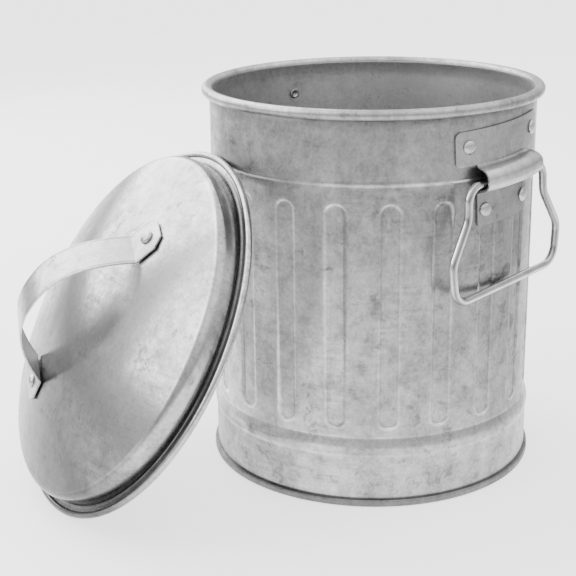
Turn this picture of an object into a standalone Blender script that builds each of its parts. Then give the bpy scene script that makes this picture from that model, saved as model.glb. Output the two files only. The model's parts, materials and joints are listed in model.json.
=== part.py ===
"""Round galvanised-steel waste bin with a lift-off domed lid, two wire bails and a strap handle.

The bin stands at the back of the group and its lid leans against it, strap outwards. Metres, +Z up;
the origin is the middle of the whole group's footprint, on the floor.
"""
import math

import bmesh
import bpy
from mathutils import Euler, Matrix, Vector

# ---------------------------------------------------------------- driving dimensions (metres)
BIN_X = 0.0321                 # the bin's axis, from the middle of the group's footprint
BIN_Y = 0.0610
BIN_HEIGHT = 0.2500
RIM_RADIUS = 0.1100            # outside of the rolled rim
RIM_ROLL = 0.00334             # radius of the roll's section
RIM_WIRE = 0.0020              # radius of the stiffening wire in the roll
SHEET = 0.0008                 # sheet steel of bin and lid
GAP = 0.0003                   # air left between neighbouring solids
TURN = 80                      # facets round the bin

WALL_UPPER = 0.1051            # outer radius of the upper band
WALL_MIDDLE = 0.1046           # outer radius of the fluted wall
WALL_LOWER = 0.1058            # outer radius of the band above the foot
JOGGLE_Z = 0.2058              # the rolled step under the upper band
BEAD_Z = 0.0390                # the round bead under the flutes
BEAD_HEIGHT = 0.0142
BEAD_RISE = 0.0009

FLUTES = 20
FLUTE_PHASE = math.radians(11.25)
FLUTE_DEPTH = 0.0010
FLUTE_LOW = 0.0511
FLUTE_HIGH = 0.1937

FOOT_RADIUS = 0.1080
FOOT_HEIGHT = 0.0050
FLOOR_Z = 0.0078               # top of the bin's floor plate

PLATE_TOP = 0.2360             # handle bracket: top of its wide plate
PLATE_FOOT = 0.2140            # bottom of the wide plate, where the loop starts
LOOP_FOOT = 0.1982             # bottom of the loop, where the narrow tab starts
TAB_FOOT = 0.1765
PLATE_HALF = math.radians(21.8)
LOOP_HALF = math.radians(13.7)
LOOP_DEPTH = 0.0108            # how far the loop's outside stands off the plate
LOOP_POWER = 0.80              # below 1, the loop's section is squarer than an ellipse
BRACKET_SHEET = 0.0010
UPPER_RIVETS = (math.radians(16.75), 0.2265)
LOWER_RIVETS = (math.radians(10.4), 0.1866)
RIGHT_LEAN = math.radians(3.1)          # the right bracket and its bail hang a little askew
LEAN_HEIGHT = 0.2265                    # the height that the bracket is turned about

WIRE = 0.0025                  # radius of the bails' wire
BAIL_PIVOT_R = 0.1086
BAIL_PIVOT_Z = 0.2046
BAIL_TOP = 0.0371              # half widths and drops of the bail's outline
BAIL_NECK = (0.0381, 0.0193)
BAIL_FLARE = (0.0533, 0.0437)
BAIL_BOTTOM = (0.0504, 0.0687)
BAIL_END = 0.0010              # half the gap between the wire's two ends, inside the loop
RIGHT_BAIL_SLIP = -0.0017

RIVET_HEAD = 0.0044
RIVET_RISE = 0.0024
RIVET_SHANK = 0.0016
RIVET_HOLE = 0.0021

LID_RADIUS = 0.1216            # outside of the lid's rolled edge
LID_ROLL = 0.0021
LID_WIRE = 0.0008
LID_DRUM = 0.1134              # the band that drops over the bin's rim
LID_SHOULDER = 0.1101
LID_SHOULDER_Z = 0.0163
LID_CROWN = 0.0222             # rise of the dome above its shoulder
LID_TURN = 48
LID_AZIMUTH = math.radians(-17.92)      # which way the lid faces, from -Y towards +X
LID_ELEVATION = math.radians(30.4)      # how far its axis tips up from level
LID_STAND_AZIMUTH = math.radians(-22.4)
LID_STAND_OFF = 0.1684                  # its centre's distance from the bin's axis

STRAP_ANGLE = math.radians(62.8)        # the strap's run across the lid, from level
STRAP_BEND = 0.0545
STRAP_END = 0.0750
STRAP_RIVET = 0.0656
STRAP_RISE = 0.0370
STRAP_WIDTH = 0.0252
STRAP_SHEET = 0.0012
STRAP_CHAMFER = 0.0060
STRAP_POWER = 2.38

GALVANISED = (0.56, 0.57, 0.58, 1.0)
ZINC_WIRE = (0.66, 0.67, 0.68, 1.0)
RIVET_STEEL = (0.60, 0.60, 0.60, 1.0)
HIDDEN_WIRE = (0.40, 0.40, 0.41, 1.0)


# ---------------------------------------------------------------- scene and materials
def clear_scene():
    for obj in list(bpy.data.objects):
        bpy.data.objects.remove(obj, do_unlink=True)
    for group in list(bpy.data.collections):
        bpy.data.collections.remove(group)


def new_collection(name):
    group = bpy.data.collections.new(name)
    bpy.context.scene.collection.children.link(group)
    return group


def metal(name, colour, roughness):
    material = bpy.data.materials.new(name)
    material.use_nodes = True
    shader = material.node_tree.nodes["Principled BSDF"]
    shader.inputs["Base Color"].default_value = colour
    shader.inputs["Roughness"].default_value = roughness
    shader.inputs["Metallic"].default_value = 0.9
    return material


def place(obj, group, parent=None, material=None):
    group.objects.link(obj)
    obj.parent = parent
    if material is not None:
        obj.data.materials.clear()
        obj.data.materials.append(material)
    return obj


def new_frame(name, group, location, rotation=(0, 0, 0), parent=None):
    """An empty that carries pieces: a body's place, or a joint's axis."""
    frame = bpy.data.objects.new(name, None)
    frame.empty_display_size = 0.03
    frame.location = location
    frame.rotation_euler = Euler(rotation)
    return place(frame, group, parent)


# ---------------------------------------------------------------- shape helpers
def arc(centre, radius, start, end, steps):
    """Points on a circle in the (r, z) plane, angles in degrees."""
    points = []
    for i in range(steps + 1):
        angle = math.radians(start + (end - start) * i / steps)
        points.append((centre[0] + radius * math.cos(angle), centre[1] + radius * math.sin(angle)))
    return points


def rounded(points, radii, steps=3):
    """A polyline whose inner corners are rounded to the given radii."""
    path = [Vector(points[0])]
    for before, corner, after, radius in zip(points, points[1:], points[2:], radii):
        corner = Vector(corner)
        back = (Vector(before) - corner).normalized()
        ahead = (Vector(after) - corner).normalized()
        half = back.angle(ahead) / 2
        reach = radius / math.tan(half)
        centre = corner + (back + ahead).normalized() * (radius / math.sin(half))
        first = corner + back * reach - centre
        last = corner + ahead * reach - centre
        start = math.atan2(first.y, first.x)
        sweep = (math.atan2(last.y, last.x) - start + math.pi) % (2 * math.pi) - math.pi
        for i in range(steps + 1):
            angle = start + sweep * i / steps
            path.append(centre + Vector((math.cos(angle), math.sin(angle))) * radius)
    path.append(Vector(points[-1]))
    return path


def line_mesh(name, points, closed=False):
    mesh = bpy.data.meshes.new(name)
    edges = [(i, i + 1) for i in range(len(points) - 1)]
    if closed:
        edges.append((len(points) - 1, 0))
    mesh.from_pydata([Vector((p[0], 0, p[1])) for p in points], edges, [])
    return mesh


def turned(name, outline, steps, closed=False):
    """Turn an (r, z) outline about Z; its outer side runs from top to bottom."""
    obj = bpy.data.objects.new(name, line_mesh(name, outline, closed))
    screw = obj.modifiers.new("Turn", "SCREW")
    screw.axis = "Z"
    screw.steps = steps
    screw.render_steps = steps
    screw.use_merge_vertices = True
    screw.merge_threshold = 0.00001
    return obj


def thicken(obj, thickness, outwards=False):
    solidify = obj.modifiers.new("Sheet", "SOLIDIFY")
    solidify.thickness = thickness
    solidify.offset = 1.0 if outwards else -1.0
    solidify.use_even_offset = True
    return obj


def bake(obj):
    """Replace an object's data with its evaluated mesh."""
    graph = bpy.context.evaluated_depsgraph_get()
    mesh = bpy.data.meshes.new_from_object(obj.evaluated_get(graph))
    obj.modifiers.clear()
    obj.data = mesh
    return obj


def cut(obj, cutters, group):
    """Bore obj with cylinders given as (matrix, radius, length), in obj's own space."""
    bm = bmesh.new()
    for matrix, radius, length in cutters:
        bmesh.ops.create_cone(bm, cap_ends=True, segments=12, radius1=radius, radius2=radius,
                              depth=length, matrix=matrix)
    mesh = bpy.data.meshes.new(obj.name + "_holes")
    bm.to_mesh(mesh)
    bm.free()
    tool = place(bpy.data.objects.new(obj.name + "_holes", mesh), group, obj.parent)
    tool.matrix_basis = obj.matrix_basis
    tool.hide_render = True
    tool.display_type = "WIRE"
    boolean = obj.modifiers.new("Holes", "BOOLEAN")
    boolean.operation = "DIFFERENCE"
    boolean.solver = "EXACT"
    boolean.object = tool


def smooth(obj, degrees=35):
    obj.data.shade_smooth()
    obj.data.set_sharp_from_angle(angle=math.radians(degrees))
    return obj


def around(angle, radius, height):
    return Vector((radius * math.cos(angle), radius * math.sin(angle), height))


def radial(angle, radius, height):
    """A frame on the bin's wall whose Z points straight out from its axis."""
    turn = Matrix.Rotation(angle, 4, "Z") @ Matrix.Rotation(math.pi / 2, 4, "Y")
    return Matrix.Translation(around(angle, radius, height)) @ turn


# ---------------------------------------------------------------- the bin
def body_outline():
    """Inner face of the bin's wall, from the end of the rim's roll down to the foot."""
    roll = (RIM_RADIUS - RIM_ROLL, BIN_HEIGHT - RIM_ROLL)
    outline = arc(roll, RIM_ROLL, -100, 205, 8)
    inner = SHEET
    outline += [(WALL_UPPER - inner, BIN_HEIGHT - 0.0090),
                (WALL_UPPER - inner, JOGGLE_Z + 0.0026),
                (WALL_UPPER - inner + 0.0004, JOGGLE_Z),
                (WALL_MIDDLE - inner, JOGGLE_Z - 0.0026),
                (WALL_MIDDLE - inner, FLUTE_HIGH),
                (WALL_MIDDLE - inner, FLUTE_HIGH - 0.0050),
                (WALL_MIDDLE - inner, FLUTE_LOW + 0.0050),
                (WALL_MIDDLE - inner, FLUTE_LOW),
                (WALL_MIDDLE - inner, BEAD_Z + BEAD_HEIGHT / 2),
                (WALL_LOWER - inner + BEAD_RISE * 0.8, BEAD_Z + BEAD_HEIGHT * 0.22),
                (WALL_LOWER - inner + BEAD_RISE * 0.8, BEAD_Z - BEAD_HEIGHT * 0.22),
                (WALL_LOWER - inner, BEAD_Z - BEAD_HEIGHT / 2),
                (WALL_LOWER - inner, 0.0018)]
    return outline


def press_flutes(mesh):
    """Push the two columns of points in each flute towards the axis."""
    pitch = 2 * math.pi / FLUTES
    for vertex in mesh.vertices:
        if FLUTE_LOW + 0.001 < vertex.co.z < FLUTE_HIGH - 0.001:
            angle = math.atan2(vertex.co.y, vertex.co.x) - FLUTE_PHASE
            offset = (angle + pitch / 2) % pitch - pitch / 2
            if abs(offset) < math.radians(3.0):
                radius = math.hypot(vertex.co.x, vertex.co.y)
                vertex.co.x *= 1 - FLUTE_DEPTH / radius
                vertex.co.y *= 1 - FLUTE_DEPTH / radius


def lean(side, angle, height):
    """Turn a place on the wall about the bracket's upper middle; only the right one, side 0, leans."""
    if side:
        return side + angle, height
    run = angle * WALL_UPPER
    drop = LEAN_HEIGHT - height
    turned_run = run * math.cos(RIGHT_LEAN) + drop * math.sin(RIGHT_LEAN)
    turned_drop = drop * math.cos(RIGHT_LEAN) - run * math.sin(RIGHT_LEAN)
    return turned_run / WALL_UPPER, LEAN_HEIGHT - turned_drop


def rivet_places(side):
    """Angle and height of one bracket's four rivets, the upper two first; side is 0 or pi."""
    places = []
    for spread, height in (UPPER_RIVETS, LOWER_RIVETS):
        for sign in (1, -1):
            places.append(lean(side, sign * spread, height))
    return places


def make_body(group, tools, parent, material):
    body = turned("can_body", body_outline(), TURN)
    place(body, group, parent)
    bake(body)
    press_flutes(body.data)
    body.data.materials.append(material)
    thicken(body, SHEET, outwards=True)
    holes = []
    for side in (0, math.pi):
        for angle, height in rivet_places(side):
            holes.append((radial(angle, WALL_MIDDLE, height), RIVET_HOLE, 0.012))
    cut(body, holes, tools)
    return smooth(body)


def make_rim_wire(group, parent, material):
    centre = (RIM_RADIUS - RIM_ROLL, BIN_HEIGHT - RIM_ROLL)
    section = arc(centre, RIM_WIRE, 90, -270 + 60, 5)
    return place(turned("rim_wire", section, TURN, closed=True), group, parent, material)


def make_floor(group, parent, material):
    """The floor plate, dished a little, with its edge turned down inside the foot."""
    outline = [(0.0, FLOOR_Z + 0.0012), (0.070, FLOOR_Z + 0.0012), (0.082, FLOOR_Z),
               (0.1016, FLOOR_Z), (0.1030, FLOOR_Z - 0.0012), (0.1030, 0.0012)]
    floor = turned("can_bottom", outline, TURN)
    return thicken(place(floor, group, parent, material), SHEET)


def make_foot(group, parent, material):
    """The rolled ring that the wall stands in: a trough, open at the top."""
    outer = FOOT_RADIUS
    inner = 0.1034
    lip = WALL_LOWER + GAP + 0.0002
    outline = [(lip, FOOT_HEIGHT), (outer - 0.0008, FOOT_HEIGHT), (outer, FOOT_HEIGHT - 0.0012),
               (outer, 0.0010), (outer - 0.0010, 0.0), (inner, 0.0), (inner, 0.0068),
               (inner + SHEET, 0.0068), (inner + SHEET, 0.0010), (outer - SHEET, 0.0010),
               (lip, FOOT_HEIGHT - 0.0010)]
    ring = turned("foot_ring", outline, TURN, closed=True)
    return place(ring, group, parent, material)


# ---------------------------------------------------------------- handle brackets and rivets
def bracket_rows():
    """(radius, height) of the bracket's inner face, top to bottom, with its half angle there."""
    plate = WALL_UPPER + GAP + 0.0001
    tab = WALL_MIDDLE + GAP + 0.0001
    rows = [(plate, PLATE_TOP, PLATE_HALF), (plate, PLATE_FOOT, PLATE_HALF)]
    centre_z = (PLATE_FOOT + LOOP_FOOT) / 2
    reach = LOOP_DEPTH
    rise = (PLATE_FOOT - LOOP_FOOT) / 2 - BRACKET_SHEET
    for degrees in (75, 50, 25, 0, -25, -50, -75):
        angle = math.radians(degrees)
        out = math.cos(angle) ** LOOP_POWER
        up = math.copysign(abs(math.sin(angle)) ** LOOP_POWER, degrees)
        rows.append((plate + reach * out, centre_z + rise * up, LOOP_HALF))
    rows.append((tab, LOOP_FOOT - 0.0006, LOOP_HALF))
    rows.append((tab, TAB_FOOT, LOOP_HALF))
    return rows


def make_bracket(name, side, group, tools, parent, material):
    """A T-shaped plate bent to the wall, with a loop rolled out across it for the bail."""
    columns = [LOOP_HALF * i / 3 for i in range(-3, 4)]
    columns = [-PLATE_HALF, -PLATE_HALF * 0.82] + columns + [PLATE_HALF * 0.82, PLATE_HALF]
    rows = bracket_rows()
    bm = bmesh.new()
    grid = []
    for radius, height, _ in rows:
        line = []
        for angle in columns:
            at_angle, at_height = lean(side, angle, height)
            line.append(bm.verts.new(around(at_angle, radius, at_height)))
        grid.append(line)
    for i in range(len(rows) - 1):
        for j in range(len(columns) - 1):
            middle = abs(columns[j] + columns[j + 1]) / 2
            if middle < rows[i + 1][2]:
                bm.faces.new((grid[i][j], grid[i + 1][j], grid[i + 1][j + 1], grid[i][j + 1]))
    loose = [vertex for vertex in bm.verts if not vertex.link_faces]
    bmesh.ops.delete(bm, geom=loose, context="VERTS")
    mesh = bpy.data.meshes.new(name)
    bm.to_mesh(mesh)
    bm.free()
    bracket = place(bpy.data.objects.new(name, mesh), group, parent, material)
    thicken(bracket, BRACKET_SHEET, outwards=True)
    holes = [(radial(angle, WALL_UPPER, height), RIVET_HOLE, 0.012)
             for angle, height in rivet_places(side)]
    cut(bracket, holes, tools)
    return bracket


def make_rivet(name, grip, matrix, group, parent, material):
    """A domed head, a shank through the sheets, and a clinched tail with its hollow."""
    head = [(RIVET_HEAD * across, 0.0002 + (RIVET_RISE - 0.0002) * up)
            for across, up in ((0.0, 1.0), (0.45, 0.88), (0.82, 0.50), (1.0, 0.0))]
    head.append((RIVET_HEAD, 0.0))
    shank = [(RIVET_SHANK, 0.0), (RIVET_SHANK, -grip)]
    tail = [(0.0024, -grip), (0.0026, -grip - 0.0005), (0.0022, -grip - 0.0009),
            (0.0010, -grip - 0.0008), (0.0009, -grip + 0.0004), (0.0, -grip + 0.0004)]
    rivet = turned(name, head + shank + tail, 8)
    place(rivet, group, parent, material)
    rivet.matrix_basis = matrix
    return rivet


# ---------------------------------------------------------------- bails
def bail_outline():
    """Half of the bail, from the wire's end in the loop down to the middle of the hand bar."""
    top, neck, flare, bottom = (BAIL_TOP, 0.0), BAIL_NECK, BAIL_FLARE, BAIL_BOTTOM
    corners = [(BAIL_END, 0.0), top, neck, flare, bottom, (0.0, bottom[1])]
    return rounded(corners, (0.0096, 0.0136, 0.0140, 0.0120))


def make_bail(name, frame, group, material):
    """A bent wire hung in its frame's local YZ plane; the frame's Y runs through the loop."""
    half = bail_outline()
    points = [Vector((0, p[0], -p[1])) for p in half]
    points += [Vector((0, -p[0], -p[1])) for p in reversed(half[:-1])]
    curve = bpy.data.curves.new(name, "CURVE")
    curve.dimensions = "3D"
    curve.bevel_depth = WIRE
    curve.bevel_resolution = 2
    curve.use_fill_caps = True
    spline = curve.splines.new("POLY")
    spline.points.add(len(points) - 1)
    for point, place_at in zip(spline.points, points):
        point.co = place_at.to_4d()
    return place(bpy.data.objects.new(name, curve), group, frame, material)


# ---------------------------------------------------------------- the lid
def dome_height(radius):
    return LID_SHOULDER_Z + LID_CROWN * (1 - (radius / LID_SHOULDER) ** 2)


def dome_slope(radius):
    return 2 * LID_CROWN * radius / LID_SHOULDER ** 2


def lid_outline():
    """Outer face of the lid, from its crown down to the roll on its flange."""
    outline = [(r, dome_height(r)) for r in (0.0, 0.024, 0.048, 0.068, 0.086, 0.100)]
    outline += [(0.1075, dome_height(0.1075)), (0.1112, 0.0154), (LID_DRUM, 0.0118),
                (LID_DRUM, 0.0012), (LID_DRUM + 0.0010, 0.0)]
    roll = (LID_RADIUS - LID_ROLL, -0.0003)
    outline += arc(roll, LID_ROLL, 170, -120, 7)
    return outline


def make_lid(group, tools, parent, material):
    lid = turned("lid_shell", lid_outline(), LID_TURN)
    place(lid, group, parent, material)
    thicken(lid, SHEET)
    holes = [(strap_rivet_matrix(sign), RIVET_HOLE, 0.012) for sign in (1, -1)]
    cut(lid, holes, tools)
    return lid


def make_lid_wire(group, parent, material):
    centre = (LID_RADIUS - LID_ROLL, -0.0003)
    section = arc(centre, LID_WIRE, 90, -270 + 60, 5)
    return place(turned("lid_rim_wire", section, LID_TURN, closed=True), group, parent, material)


def strap_rivet_matrix(sign):
    """On the dome under one foot of the strap, Z along the dome's normal, in the lid's frame."""
    tilt = math.atan(dome_slope(STRAP_RIVET))
    turn = STRAP_ANGLE if sign > 0 else STRAP_ANGLE + math.pi
    spin = Matrix.Rotation(turn, 4, "Z")
    place_on = Matrix.Translation((STRAP_RIVET, 0, dome_height(STRAP_RIVET)))
    return spin @ place_on @ Matrix.Rotation(tilt, 4, "Y")


def strap_half():
    """(run, rise) of the strap's under face, from the middle of its arch to a foot's end."""
    lift = GAP + 0.0003
    base = dome_height(STRAP_BEND) + lift
    points = []
    for run in (0.0, 0.12, 0.26, 0.40, 0.54, 0.67, 0.79, 0.89, 0.96, 1.0):
        points.append((STRAP_BEND * run, base + STRAP_RISE * (1 - run ** STRAP_POWER)))
    points.append((STRAP_END - STRAP_CHAMFER, dome_height(STRAP_END - STRAP_CHAMFER) + lift))
    points.append((STRAP_END, dome_height(STRAP_END) + lift))
    return points


def make_strap(group, tools, parent, material):
    """A flat steel strap arched over the lid, its feet flat on the dome with clipped corners."""
    half = strap_half()
    line = [(-run, rise) for run, rise in reversed(half)] + half[1:]
    edge = STRAP_WIDTH / 2
    bm = bmesh.new()
    grid = [[bm.verts.new((run, across, rise)) for across in (-edge, -edge + STRAP_CHAMFER,
                                                              edge - STRAP_CHAMFER, edge)]
            for run, rise in line]
    last = len(line) - 2
    for i in range(last + 1):
        for j in range(3):
            corners = [grid[i][j], grid[i + 1][j], grid[i + 1][j + 1], grid[i][j + 1]]
            if i == 0 and j != 1:
                corners.remove(grid[0][0 if j == 0 else 3])
            if i == last and j != 1:
                corners.remove(grid[last + 1][0 if j == 0 else 3])
            bm.faces.new(corners)
    loose = [vertex for vertex in bm.verts if not vertex.link_faces]
    bmesh.ops.delete(bm, geom=loose, context="VERTS")
    mesh = bpy.data.meshes.new("lid_strap")
    bm.to_mesh(mesh)
    bm.free()
    strap = place(bpy.data.objects.new("lid_strap", mesh), group, parent, material)
    strap.rotation_euler = (0, 0, STRAP_ANGLE)
    thicken(strap, STRAP_SHEET, outwards=True)
    back = Matrix.Rotation(-STRAP_ANGLE, 4, "Z")
    holes = [(back @ strap_rivet_matrix(sign), RIVET_HOLE, 0.012) for sign in (1, -1)]
    cut(strap, holes, tools)
    return strap


def lid_location():
    """Where the leaning lid's centre is: on the floor by its roll, a hair off the bin's wall."""
    reach = LID_RADIUS - LID_ROLL
    height = reach * math.cos(LID_ELEVATION) + LID_ROLL + 0.0003 * math.sin(LID_ELEVATION)
    off = LID_STAND_OFF
    return Vector((BIN_X + off * math.sin(LID_STAND_AZIMUTH), BIN_Y - off * math.cos(LID_STAND_AZIMUTH), height))


# ---------------------------------------------------------------- assembly
def main():
    clear_scene()
    parts = new_collection("waste_bin")
    tools = new_collection("cutters")
    sheet = metal("galvanised_sheet", GALVANISED, 0.42)
    wire = metal("bail_wire", ZINC_WIRE, 0.25)
    pin = metal("rivet_steel", RIVET_STEEL, 0.35)
    core = metal("rim_core_wire", HIDDEN_WIRE, 0.6)

    bin_frame = new_frame("bin_frame", parts, (BIN_X, BIN_Y, 0))
    make_body(parts, tools, bin_frame, sheet)
    make_rim_wire(parts, bin_frame, core)
    make_floor(parts, bin_frame, sheet)
    make_foot(parts, bin_frame, sheet)

    plate_face = WALL_UPPER + GAP + 0.0001 + BRACKET_SHEET + 0.0002
    tab_face = WALL_MIDDLE + GAP + 0.0001 + BRACKET_SHEET + 0.0002
    for label, side in (("right", 0.0), ("left", math.pi)):
        make_bracket("bracket_" + label, side, parts, tools, bin_frame, sheet)
        for number, (angle, height) in enumerate(rivet_places(side), start=1):
            upper = height > JOGGLE_Z
            face = plate_face if upper else tab_face
            grip = 0.0030 if upper else 0.0040
            name = "rivet_" + label + "_" + str(number)
            make_rivet(name, grip, radial(angle, face, height), parts, bin_frame, pin)
        skew = RIGHT_LEAN if label == "right" else 0.0
        slip = RIGHT_BAIL_SLIP if label == "right" else 0.0
        pivot = around(side, BAIL_PIVOT_R, BAIL_PIVOT_Z) + Vector((0, slip, 0))
        hinge = new_frame("hinge_" + label, parts, pivot, (skew, 0, 0), bin_frame)
        make_bail("handle_" + label, hinge, parts, wire)

    lid_frame = new_frame("lid_frame", parts, lid_location(),
                          (math.pi / 2 - LID_ELEVATION, 0, LID_AZIMUTH))
    make_lid(parts, tools, lid_frame, sheet)
    make_lid_wire(parts, lid_frame, core)
    make_strap(parts, tools, lid_frame, sheet)
    for number, sign in enumerate((1, -1), start=1):
        lift = Matrix.Translation((0, 0, GAP + 0.0003 + STRAP_SHEET + 0.0003))
        matrix = strap_rivet_matrix(sign) @ lift
        make_rivet("lid_rivet_" + str(number), 0.0035, matrix, parts, lid_frame, pin)


main()
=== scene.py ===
"""Looks of the galvanised waste bin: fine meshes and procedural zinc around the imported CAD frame.

Lengths are in metres and angles in radians. The bin's meshes are made round its own axis and the lid's in
the lid's own frame, and both are then moved to where the CAD frame has them.
"""

import json
import math

import bmesh
import bpy
import numpy as np
from mathutils import Matrix, Vector


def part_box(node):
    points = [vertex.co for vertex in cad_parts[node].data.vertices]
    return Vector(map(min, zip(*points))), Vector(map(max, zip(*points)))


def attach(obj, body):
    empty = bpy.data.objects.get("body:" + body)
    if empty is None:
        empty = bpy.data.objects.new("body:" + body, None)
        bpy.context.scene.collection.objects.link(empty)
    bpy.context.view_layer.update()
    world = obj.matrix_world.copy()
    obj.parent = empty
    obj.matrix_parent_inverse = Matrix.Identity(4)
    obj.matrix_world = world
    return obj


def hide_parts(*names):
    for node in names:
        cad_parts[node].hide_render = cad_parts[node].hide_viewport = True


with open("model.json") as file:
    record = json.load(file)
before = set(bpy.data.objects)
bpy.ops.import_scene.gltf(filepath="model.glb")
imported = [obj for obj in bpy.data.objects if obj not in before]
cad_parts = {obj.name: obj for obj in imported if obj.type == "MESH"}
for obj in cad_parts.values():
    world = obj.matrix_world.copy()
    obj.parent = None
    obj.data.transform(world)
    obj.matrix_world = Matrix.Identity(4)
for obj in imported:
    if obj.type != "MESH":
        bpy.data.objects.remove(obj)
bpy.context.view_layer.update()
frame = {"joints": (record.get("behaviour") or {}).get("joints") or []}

# ---------------------------------------------------------------- the frame's own places
foot_low, foot_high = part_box("foot_ring")
wall_low, wall_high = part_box("can_body")
AXIS = Vector(((foot_low.x + foot_high.x) / 2, (foot_low.y + foot_high.y) / 2, 0))
JOINTS = {joint["name"]: joint for joint in frame["joints"]}
LID_NORMAL = Vector(JOINTS["lid_lift"]["axis"]).normalized()
lid_ring_low, lid_ring_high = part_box("lid_rim_wire")

# ---------------------------------------------------------------- sizes of the pieces
BIN_HEIGHT = wall_high.z
RIM_RADIUS = (wall_high.x - wall_low.x) / 2
RIM_ROLL = 0.00334
RIM_WIRE = 0.0020
SHEET = 0.0008
GAP = 0.0003

# The wall: outer radii of its three bands, and the heights of what is pressed into it.
WALL_UPPER = 0.1051
WALL_MIDDLE = 0.1046
WALL_LOWER = 0.1058
JOGGLE_Z = 0.2058
BEAD_Z = 0.0390
BEAD_HALF = 0.0064
BEAD_RISE = 0.00085
WALL_WAVE = 0.00007

FLUTES = 20
FLUTE_PHASE = math.radians(11.25)
FLUTE_DEPTH = 0.0010
FLUTE_LOW = 0.0511
FLUTE_HIGH = 0.1937
FLUTE_HALF = 0.0076
FLUTE_SIDE = 0.0031
FLUTE_END = 0.0017

FOOT_RADIUS = (foot_high.x - foot_low.x) / 2
FOOT_INNER = 0.1034
FOOT_HEIGHT = 0.0050
FLOOR_Z = 0.0078

# A bracket: a T-shaped plate with a rolled loop between its upper plate and its lower tab.
PLATE_TOP = 0.2360
PLATE_FOOT = 0.2140
LOOP_FOOT = 0.1982
TAB_FOOT = 0.1765
PLATE_HALF = math.radians(21.8)
LOOP_HALF = math.radians(13.7)
LOOP_DEPTH = 0.0108
LOOP_POWER = 0.80
BRACKET_SHEET = 0.0010
PLATE_CORNER = 0.0034
TAB_CORNER = 0.0022
CONTACT = 0.0001
UPPER_RIVETS = (math.radians(16.75), 0.2265)
LOWER_RIVETS = (math.radians(10.4), 0.1866)
RIGHT_LEAN = math.radians(3.1)
LEAN_HEIGHT = 0.2265

# A bail: the wire's radius, and the corners of half its line as (across, down) from the hinge.
WIRE = 0.0025
BAIL_TOP = 0.0371
BAIL_NECK = (0.0381, 0.0193)
BAIL_FLARE = (0.0533, 0.0437)
BAIL_BOTTOM = (0.0504, 0.0687)
BAIL_END = 0.0010
BAIL_CORNERS = (0.0096, 0.0136, 0.0140, 0.0120)

RIVET_HEAD = 0.0044
RIVET_RISE = 0.0024
RIVET_SHANK = 0.0016

# The lid, in a frame whose Z is the lid's axis and whose origin is at the flange.
LID_ROLL_RADIUS = 0.1195
LID_ROLL = 0.0021
LID_ROLL_DROP = 0.0003
LID_WIRE = 0.0008
LID_DRUM = 0.1134
LID_SHOULDER = 0.1101
LID_SHOULDER_Z = 0.0163
LID_CROWN = 0.0222
LID_WAVE = 0.00008

STRAP_ANGLE = math.radians(62.8)
STRAP_BEND = 0.0545
STRAP_END = 0.0750
STRAP_RIVET = 0.0656
STRAP_RISE = 0.0370
STRAP_WIDTH = 0.0252
STRAP_SHEET = 0.0012
STRAP_CHAMFER = 0.0060
STRAP_POWER = 2.38
STRAP_LIFT = GAP + 0.0003

# The lid's frame in the world: X is level, Y points up the leaning lid, and Z is the lid's axis.
LID_LEVEL = Vector((-LID_NORMAL.y, LID_NORMAL.x, 0)).normalized()
LID_UP = LID_NORMAL.cross(LID_LEVEL)
LID_CENTRE = (lid_ring_low + lid_ring_high) / 2 + LID_NORMAL * LID_ROLL_DROP
LID_MATRIX = Matrix.Translation(LID_CENTRE) @ Matrix(
    [(LID_LEVEL[i], LID_UP[i], LID_NORMAL[i]) for i in range(3)]).to_4x4()
BIN_MATRIX = Matrix.Translation(AXIS)


# ---------------------------------------------------------------- mesh helpers
def smoothstep(low, high, value):
    """0 at low to 1 at high, held at both ends; low may be above high."""
    t = np.clip((value - low) / (high - low), 0.0, 1.0)
    return t * t * (3 - 2 * t)


def arc(centre, radius, start, end, steps):
    """Points on a circle in the (r, z) plane, angles in degrees."""
    angles = np.radians(np.linspace(start, end, steps + 1))
    return [(centre[0] + radius * math.cos(a), centre[1] + radius * math.sin(a)) for a in angles]


def soften(points, rounds=2, closed=False):
    """Chaikin's corner cutting, which turns a polyline's corners into fillets."""
    path = [tuple(p) for p in points]
    for _ in range(rounds):
        pairs = list(zip(path, path[1:] + path[:1])) if closed else list(zip(path, path[1:]))
        cut = [] if closed else [path[0]]
        for a, b in pairs:
            cut.append(tuple(0.75 * p + 0.25 * q for p, q in zip(a, b)))
            cut.append(tuple(0.25 * p + 0.75 * q for p, q in zip(a, b)))
        if not closed:
            cut = [path[0]] + cut[2:-1] + [path[-1]]
        path = cut
    return path


def rounded(points, radii, steps=12):
    """A polyline whose inner corners are rounded to the given radii."""
    path = [Vector(points[0])]
    for before, corner, after, radius in zip(points, points[1:], points[2:], radii):
        corner = Vector(corner)
        back = (Vector(before) - corner).normalized()
        ahead = (Vector(after) - corner).normalized()
        half = back.angle(ahead) / 2
        reach = radius / math.tan(half)
        centre = corner + (back + ahead).normalized() * (radius / math.sin(half))
        first = corner + back * reach - centre
        last = corner + ahead * reach - centre
        start = math.atan2(first.y, first.x)
        sweep = (math.atan2(last.y, last.x) - start + math.pi) % (2 * math.pi) - math.pi
        for i in range(steps + 1):
            angle = start + sweep * i / steps
            path.append(centre + Vector((math.cos(angle), math.sin(angle))) * radius)
    path.append(Vector(points[-1]))
    return path


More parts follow.
